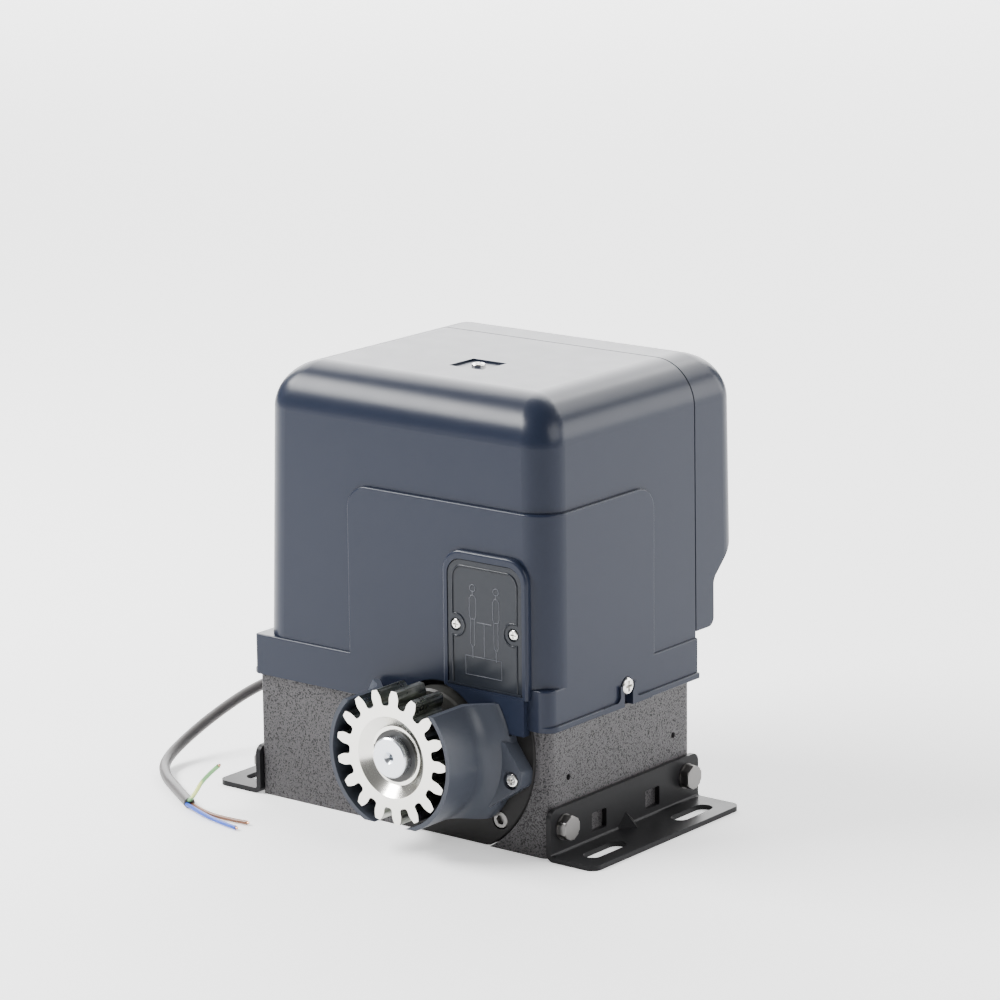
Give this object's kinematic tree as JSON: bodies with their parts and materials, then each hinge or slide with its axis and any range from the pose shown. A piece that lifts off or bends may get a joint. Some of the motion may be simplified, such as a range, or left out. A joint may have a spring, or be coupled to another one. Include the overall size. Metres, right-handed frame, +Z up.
{
  "type": "sliding gate gearmotor",
  "caption": "Sliding-gate operator: upright motor on a worm gearbox that turns a rack pinion, with a rounded two-part cover, slotted mounting brackets and a supply cord.",
  "frame": {"origin": "centre of the base's bottom face, midway between the mounting brackets", "axes": "+Z up, pinion and its shaft face -Y, brackets stand out along +X and -X"},
  "size_m": [0.3231, 0.2449, 0.2546],
  "materials": {
    "bare_copper": "bare strands",
    "base_paint": "pitted hammered dark grey",
    "bearing_steel": "polished",
    "black_paint": "satin black",
    "black_plastic": "moulded",
    "blue_sheath": "smooth",
    "board_green": "solder mask",
    "bright_steel": "zinc plated, machined",
    "bronze": "machined bronze",
    "brown_sheath": "smooth",
    "capacitor_white": "moulded",
    "cast_aluminium": "as cast",
    "copper": "enamelled copper",
    "cord_rubber": "matte dark grey",
    "cover_plastic": "satin blue-grey",
    "dull_zinc": "dull zinc",
    "earth_sheath": "smooth green and yellow",
    "flange_paint": "satin dark grey",
    "fuse_glass": "clear",
    "galvanised": "galvanised sheet",
    "guard_plastic": "satin blue-grey",
    "lamination": "dark lamination steel",
    "limit_plastic": "glossy dark blue-grey",
    "relay_blue": "smooth",
    "screw_nickel": "nickel plated",
    "seal_rubber": "matte",
    "shaft_steel": "turned",
    "spring_steel": "blackened",
    "terminal_green": "moulded"
  },
  "bodies": {
    "housing": {"base_housing": "base_paint", "output_flange": "flange_paint", "flange_screws": "dull_zinc", "shaft_seal": "seal_rubber", "shaft_bearing_outers": "bearing_steel", "shaft_bearing_balls": "bearing_steel", "motor_bearing_outers": "bearing_steel", "motor_bearing_balls": "bearing_steel", "stator_core": "lamination", "stator_windings": "copper", "motor_housing": "cast_aluminium", "motor_end_cap": "cast_aluminium", "motor_screws": "dull_zinc", "cover_post": "dull_zinc", "main_cover": "cover_plastic", "rear_cover": "cover_plastic", "limit_cover": "limit_plastic", "limit_cover_screws": "screw_nickel", "cover_side_screws": "screw_nickel", "cover_top_screw": "screw_nickel", "gear_guard": "guard_plastic", "guard_screws": "screw_nickel", "right_bracket": "black_paint", "left_bracket": "black_paint", "bracket_bolts": "dull_zinc", "bracket_washers": "dull_zinc", "electronics_plate": "galvanised", "plate_screws": "dull_zinc", "board_spacers": "black_plastic", "control_board": "board_green", "board_screws": "dull_zinc", "board_relays": "relay_blue", "terminal_block": "terminal_green", "fuse": "fuse_glass", "board_capacitors": "black_plastic", "control_chip": "black_plastic", "transformer_core": "lamination", "transformer_coil": "copper", "run_capacitor": "capacitor_white", "capacitor_clip": "galvanised", "limit_sensor": "black_plastic", "cable_gland": "black_plastic", "gland_nut": "black_plastic", "power_cord": "cord_rubber", "wire_blue": "blue_sheath", "wire_brown": "brown_sheath", "wire_earth": "earth_sheath", "wire_ends": "bare_copper"},
    "output": {"output_shaft": "shaft_steel", "output_pinion": "bright_steel", "pinion_key": "dull_zinc", "wheel_key": "dull_zinc", "pinion_circlip": "spring_steel", "worm_wheel": "bronze", "shaft_bearing_inners": "bearing_steel"},
    "rotor": {"motor_shaft": "shaft_steel", "rotor_core": "lamination", "motor_bearing_inners": "bearing_steel"}
  },
  "joints": [
    {"name": "output_spin", "type": "hinge", "parent": "housing", "child": "output", "pos_m": [0.0298, 0, 0.0565], "axis": [0, 1, 0], "continuous": true},
    {"name": "rotor_spin", "type": "hinge", "parent": "housing", "child": "rotor", "pos_m": [-0.0202, -0.012, 0], "axis": [0, 0, 1], "continuous": true}
  ],
  "couplings": [
    {"joint": "rotor_spin", "follows": "output_spin", "ratio": -30}
  ]
}
